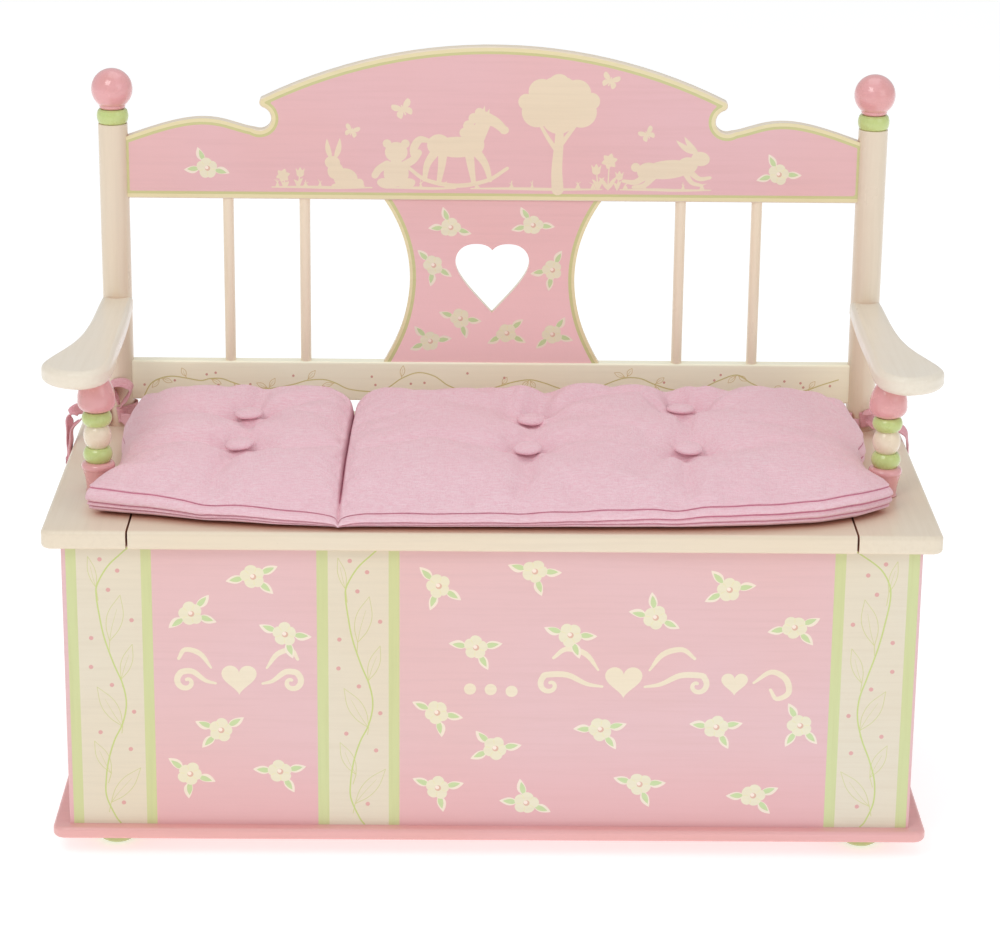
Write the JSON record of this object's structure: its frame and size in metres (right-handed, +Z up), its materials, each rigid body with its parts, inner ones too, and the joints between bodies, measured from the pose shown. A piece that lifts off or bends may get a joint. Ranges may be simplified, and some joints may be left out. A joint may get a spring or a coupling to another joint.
{
  "type": "toy box bench",
  "caption": "Painted wooden toy chest with a hinged seat lid, arms on turned supports, an arched backrest with a heart cut-out and a tied button-tufted cushion.",
  "frame": {"origin": "centre of the plan at floor level, under the feet", "axes": "+X along the bench to the viewer's right, -Y to the front, +Z up"},
  "size_m": [0.8434, 0.38, 0.7173],
  "materials": {
    "pink_paint": "satin paint",
    "cream_paint": "satin paint",
    "green_paint": "satin paint",
    "pink_gloss": "gloss paint",
    "bare_wood": "plain",
    "zinc_steel": "zinc plated",
    "nylon": "matte",
    "pink_linen": "linen weave"
  },
  "bodies": {
    "bench": {"arm_dowels": "bare_wood", "back_panel": "pink_paint", "back_splat": "pink_paint", "base_board": "pink_paint", "base_screws": "zinc_steel", "bottom_rail": "cream_paint", "cleat_screws": "zinc_steel", "corner_cleats": "bare_wood", "foot_front_left": "green_paint", "foot_front_right": "green_paint", "foot_rear_left": "green_paint", "foot_rear_right": "green_paint", "foot_screws": "zinc_steel", "front_panel": "pink_paint", "guide_screws": "zinc_steel", "hinge_leaf_fixed": "zinc_steel", "hinge_pin": "zinc_steel", "hinge_screws_fixed": "zinc_steel", "ledge_screws": "zinc_steel", "left_arm": "cream_paint", "left_back_post": "cream_paint", "left_cushion_tie": "pink_linen", "left_finial": "pink_gloss", "left_inner_spindle": "cream_paint", "left_ledge": "bare_wood", "left_outer_spindle": "cream_paint", "left_seat_board": "cream_paint", "left_side_panel": "pink_paint", "left_stay_guide": "nylon", "post_collars": "green_paint", "post_screws": "zinc_steel", "rear_seat_board": "cream_paint", "right_arm": "cream_paint", "right_back_post": "cream_paint", "right_cushion_tie": "pink_linen", "right_finial": "pink_gloss", "right_inner_spindle": "cream_paint", "right_ledge": "bare_wood", "right_outer_spindle": "cream_paint", "right_seat_board": "cream_paint", "right_side_panel": "pink_paint", "right_stay_guide": "nylon", "seat_dowels": "bare_wood", "support_bases": "pink_gloss", "support_beads": "cream_paint", "support_lower_rings": "green_paint", "support_rods": "zinc_steel", "support_upper_rings": "green_paint", "support_vases": "pink_gloss", "top_rail": "pink_paint"},
    "lid": {"lid": "cream_paint", "lid_battens": "bare_wood", "hinge_leaf_lid": "zinc_steel", "hinge_screws_lid": "zinc_steel", "left_lid_stay": "zinc_steel", "right_lid_stay": "zinc_steel", "stay_screws": "zinc_steel", "seat_cushion": "pink_linen", "cushion_buttons": "pink_linen"}
  },
  "joints": [
    {"name": "lid_hinge", "type": "hinge", "parent": "bench", "child": "lid", "pos_m": [0, 0.088, 0.328], "axis": [-1, 0, 0], "range_deg": [0, 70]}
  ]
}
